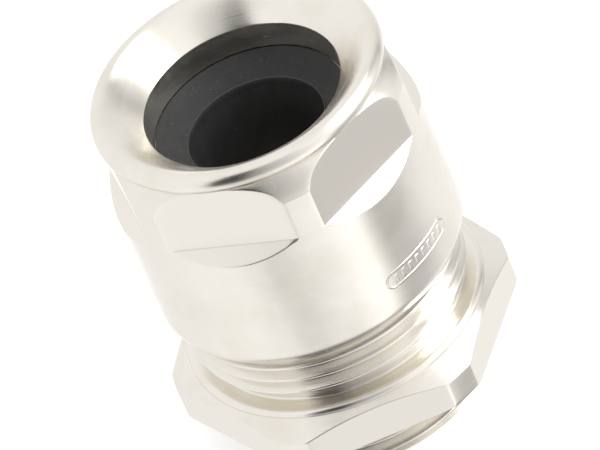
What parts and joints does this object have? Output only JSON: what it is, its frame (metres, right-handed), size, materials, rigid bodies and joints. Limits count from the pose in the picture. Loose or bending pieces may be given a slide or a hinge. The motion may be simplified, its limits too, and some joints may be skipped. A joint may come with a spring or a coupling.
{
  "type": "cable gland",
  "caption": "Straight-through metal cable gland: hexagon body with entry thread, bell-mouthed compression nut, rubber sealing ring and pressure washers.",
  "frame": {"origin": "on the gland's axis, at the bottom face of the entry thread, which it stands on", "axes": "+Z along the cable from the entry thread to the nut's mouth; -Y out of the middle of one spanner flat of the body; +X through a corner of the body's hexagon"},
  "size_m": [0.033, 0.03, 0.0392],
  "materials": {
    "body_metal": "nickel plate over turned brass, bright with fine turning lines",
    "nut_metal": "nickel plate over turned brass, bright skirt and lip, satin milled flats",
    "washer_metal": "nickel plate over punched brass, satin",
    "seal_rubber": "moulded black rubber, matt with a faint bloom"
  },
  "bodies": {
    "body": {"gland_body": "body_metal", "lower_washer": "washer_metal", "sealing_ring": "seal_rubber"},
    "slip_ring": {"slip_washer": "washer_metal"},
    "nut": {"compression_nut": "nut_metal"}
  },
  "joints": [
    {"name": "nut_travel", "type": "slide", "parent": "body", "child": "slip_ring", "axis": [0, 0, 1], "range_m": [-0.003, 0.006], "deforming": ["sealing_ring"]},
    {"name": "nut_turn", "type": "hinge", "parent": "slip_ring", "child": "nut", "pos_m": [0, 0, 0.0165], "axis": [0, 0, 1], "range_deg": [-720, 1440]}
  ],
  "couplings": [
    {"joint": "nut_turn", "follows": "nut_travel", "rad_per_m": 4188.8}
  ]
}
